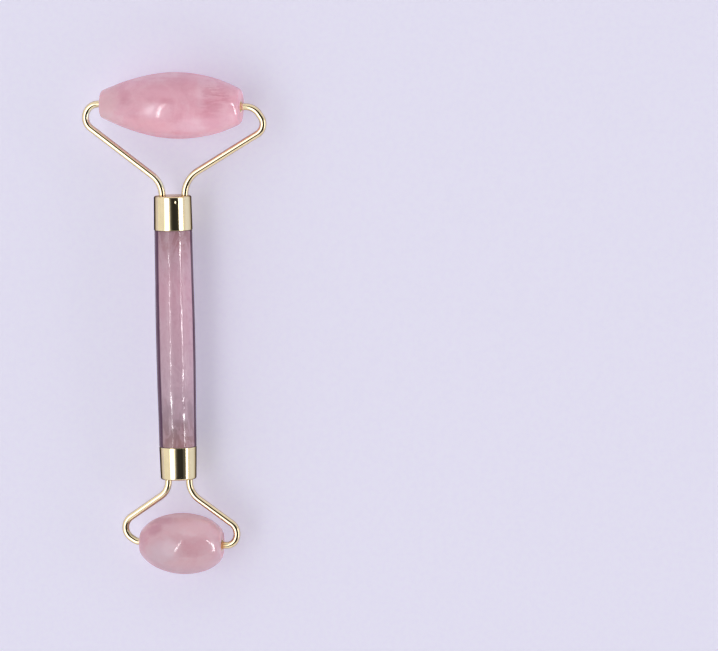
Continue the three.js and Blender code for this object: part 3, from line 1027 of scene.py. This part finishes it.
def make_floor():
    """A pale, slightly sloping table under both roller stones."""
    (large_y, large_z), (small_y, small_z) = FLOOR_CONTACTS
    slope = (large_z - small_z) / (large_y - small_y)
    row = FLOOR_CELLS + 1
    ticks = [-FLOOR_HALF + 2 * FLOOR_HALF * i / FLOOR_CELLS for i in range(row)]
    points = [(x, y, (large_z + slope * (y * 1000 - large_y)) * MM - FLOOR_DROP)
              for x in ticks for y in ticks]
    corners = [i * row + j for i in range(FLOOR_CELLS) for j in range(FLOOR_CELLS)]
    faces = [(a, a + row, a + row + 1, a + 1) for a in corners]
    floor = add_object("floor", new_mesh("floor", points, faces))
    material, net, shader, at = new_material("pale_floor")
    grain = net.noise(at, scale=700, w=0.5, detail=5.0, distortion=0.0)
    tint = net.ramp(grain, [(0.3, srgb(220, 218, 235)), (0.7, srgb(223, 221, 238))])
    net.feed(shader, {
        "Base Color": tint,
        "Emission Color": tint,
        "Emission Strength": 0.37,
        "Roughness": 0.7,
        "Specular IOR Level": 0.2,
    })
    floor.data.materials.append(material)


make_floor()

# ------------------------------------------------------------------ world
# Two tall soft lights stand left and right of the camera, with an unlit gap between them, in a
# pale room. Their broad fabric is painted on the world by direction; cards add the rest.
AMBIENT = 0.83
MID_HEIGHT = -0.19              # middle of the lights, upwards over towards the camera


def make_world():
    world = bpy.data.worlds.new("studio")
    bpy.context.scene.world = world
    net = NodeNet(world)
    direction = net.make("TexCoord", output="Generated")
    x, y, z = [net.dot(direction, axis) for axis in (RIGHT, UP, BACK)]
    depth = net.math("MAXIMUM", z, 0.02)
    sideways, upwards = x / depth, y / depth
    rise = upwards - MID_HEIGHT
    # slanted sideways coordinates: the gap's two edges and the left light's outer edge;
    # the gap's left edge bends, so that the gap is widest above and below the middle
    below = net.math("MINIMUM", rise, 0.0) * 0.30
    above = net.math("MAXIMUM", rise, 0.0) * 0.55
    left_edge = sideways - below + above
    right_edge = sideways + rise * 0.35
    outer_left = sideways - rise * 0.40

    gap = net.smooth(left_edge, -0.44, -0.08) * (1.0 - net.smooth(right_edge, 1.16, 1.38))
    gap = gap * net.band(upwards, -1.22, 0.64, soft=0.06)
    grey = ((1.0 - net.smooth(left_edge, -0.10, 0.10)) * 0.03
            + net.smooth(right_edge, 0.52, 0.80) * 0.10)
    level = (AMBIENT + x * -0.05) * (1.0 - gap * (0.965 - grey))

    ahead = net.smooth(z, 0.1, 0.3)
    left = (1.0 - net.smooth(left_edge, -0.46, -0.28)) * net.smooth(outer_left, -1.28, -1.10)
    left = left * net.band(upwards, -1.6, 0.30, soft=0.06)
    right = (net.band(right_edge, 1.27, 2.15, soft=0.07)
             * net.band(upwards, -1.2, 0.40, soft=0.06))
    low = net.band(sideways, -0.30, 1.1, soft=0.08) * net.band(upwards, -2.0, -1.28, soft=0.08)
    for light, power in ((left, 0.95), (right, 1.00), (low, 0.45)):
        level = level + light * ahead * power

    tone = net.make("CombineColor", enumerate([level * 1.0, level * 0.985, level * 1.01]))
    lighting = net.make("Background", {"Color": tone})
    # the camera itself sees a plain pale room
    backdrop = net.make("Background", {"Color": srgb(228, 226, 243)})
    seen = net.make("LightPath", output="Is Camera Ray")
    mixed = net.make("MixShader", {0: seen, 1: lighting, 2: backdrop})
    net.add("OutputWorld", {"Surface": mixed})
    world.cycles.sampling_method = "MANUAL"
    world.cycles.sample_map_resolution = 1024


make_world()

# ------------------------------------------------------------------ light cards
# Points the cards are laid out from, metres.
LARGE_AT = (0.0, 0.026, 0.0)
SMALL_AT = (0.0, -0.1012, 0.0)
ROD_AT = (0.0, -0.0414, 0.0)
metal = [*ferrules.values(), *wires.values()]
rod_parts = [handle, *bushes]

# name, radiance, origin, distance in metres, lit objects,
# path: sideways, upwards, width (each over the distance), share of the radiance
CARDS = [
    ("left_tube", 12.0, LARGE_AT, 1.20, [stones["large"]], (
        (-0.42, 0.16, 0.05, 0.0), (-0.463, 0.10, 0.06, 0.22), (-0.563, -0.06, 0.08, 0.35),
        (-0.627, -0.24, 0.085, 0.8), (-0.70, -0.50, 0.095, 1.0), (-0.80, -0.87, 0.095, 0.9),
        (-0.95, -1.30, 0.09, 0.4))),
    ("left_glow", 3.3, LARGE_AT, 1.22, [stones["large"]], (
        (-0.76, -0.02, 0.10, 0.0), (-0.80, -0.14, 0.16, 0.7), (-0.90, -0.42, 0.22, 1.0),
        (-1.07, -0.80, 0.24, 0.7), (-1.25, -1.15, 0.2, 0.0))),
    ("right_tube", 20.0, LARGE_AT, 1.24, [stones["large"]], (
        (0.64, 0.36, 0.05, 0.2), (0.652, 0.26, 0.07, 0.9), (0.704, -0.03, 0.09, 1.0),
        (0.90, -0.40, 0.19, 1.0), (1.42, -1.14, 0.40, 1.0), (2.2, -2.0, 0.60, 0.6))),
    ("left_tube_small", 14.0, SMALL_AT, 1.26, [stones["small"]], (
        (-0.235, 0.30, 0.04, 0.1), (-0.26, 0.20, 0.05, 0.35), (-0.327, -0.085, 0.06, 0.8),
        (-0.46, -0.45, 0.085, 1.0), (-0.50, -0.56, 0.08, 0.6))),
    ("right_tube_small", 14.0, SMALL_AT, 1.28, [stones["small"]], (
        (0.70, 0.37, 0.09, 0.3), (0.85, 0.33, 0.11, 0.9), (1.115, 0.20, 0.13, 1.0),
        (1.617, -0.02, 0.26, 1.0), (1.93, -0.52, 0.48, 1.0), (2.5, -1.2, 0.7, 0.7))),
    ("left_tube_rod", 17.0, ROD_AT, 1.30, rod_parts, (
        (-0.38, 0.45, 0.085, 1.0), (-0.577, -0.19, 0.085, 1.0), (-0.86, -1.0, 0.085, 1.0))),
    ("right_tube_rod", 22.0, ROD_AT, 1.32, rod_parts, (
        (0.66, 0.45, 0.11, 1.0), (0.90, -0.19, 0.11, 1.0), (1.17, -1.0, 0.11, 1.0))),
    ("left_fabric", 1.25, LARGE_AT, 1.34, metal, (
        (-0.61, 0.28, 0.86, 1.0), (-0.77, -0.19, 0.86, 1.0), (-1.2, -1.4, 0.86, 1.0))),
    ("right_fabric", 1.42, LARGE_AT, 1.36, metal, (
        (1.43, 0.38, 0.95, 1.0), (1.63, -0.19, 0.95, 1.0), (1.98, -1.2, 0.95, 1.0))),
    ("left_small_arm", 0.75, SMALL_AT, 1.40, [wires["small", "left"]], (
        (-0.24, -0.40, 0.42, 0.8), (0.06, -0.76, 0.60, 1.0), (0.42, -1.27, 0.60, 1.0))),
    ("right_fabric_near", 2.9, LARGE_AT, 1.38, [ferrules["large"]], (
        (0.80, 0.38, 0.46, 1.0), (1.00, -0.19, 0.46, 1.0), (1.28, -1.0, 0.46, 1.0))),
]


def card_mesh(name, origin, distance, path):
    """A strip along the path, three points wide, that stores how it fades as attributes."""
    origin, right, up, back = (np.array(v, float) for v in (origin, RIGHT, UP, BACK))
    line = [origin + distance * (back + sideways * right + upwards * up)
            for sideways, upwards, _, _ in path]
    points, side, power = [], [], []
    for k, (_, _, width, share) in enumerate(path):
        along = line[min(k + 1, len(line) - 1)] - line[max(k - 1, 0)]
        across = np.cross(back, along / np.linalg.norm(along)) * width * distance / 2
        points += [tuple(line[k] - across), tuple(line[k]), tuple(line[k] + across)]
        side += [1.0, 0.0, 1.0]
        power += [share] * 3
    faces = []
    for a in range(0, 3 * len(line) - 3, 3):
        faces += [(a, a + 1, a + 4, a + 3), (a + 1, a + 2, a + 5, a + 4)]
    mesh = new_mesh(name, points, faces)
    for key, values in (("side", side), ("power", power)):
        mesh.attributes.new(key, "FLOAT", "POINT").data.foreach_set("value", values)
    return mesh


def card_material(name, radiance):
    """See-through light that fades towards the long edges of the strip."""
    material = bpy.data.materials.new(name)
    net = NodeNet(material)
    side = net.make("Attribute", output="Fac", attribute_name="side")
    fade = 1.0 - net.smooth(side, 0.55, 1.0)
    share = fade * net.make("Attribute", output="Fac", attribute_name="power")
    glow = net.make("Emission", {"Color": (1.0, 0.985, 1.0, 1.0), "Strength": share * radiance})
    both = net.make("AddShader", {0: glow, 1: net.make("BsdfTransparent")})
    net.add("OutputMaterial", {"Surface": both})
    return material


def card(name, radiance, origin, distance, receivers, path):
    """A lit strip facing the roller that lights only its receivers."""
    obj = add_object(name, card_mesh(name, origin, distance, path))
    obj.data.materials.append(card_material(name, radiance))
    obj.visible_camera = False
    obj.visible_shadow = False
    group = bpy.data.collections.new(name + "_receivers")
    obj.light_linking.receiver_collection = group
    for receiver in receivers:
        group.objects.link(receiver)


for row in CARDS:
    card(*row)

view = bpy.context.scene.view_settings
view.view_transform = "Standard"
view.look = "None"
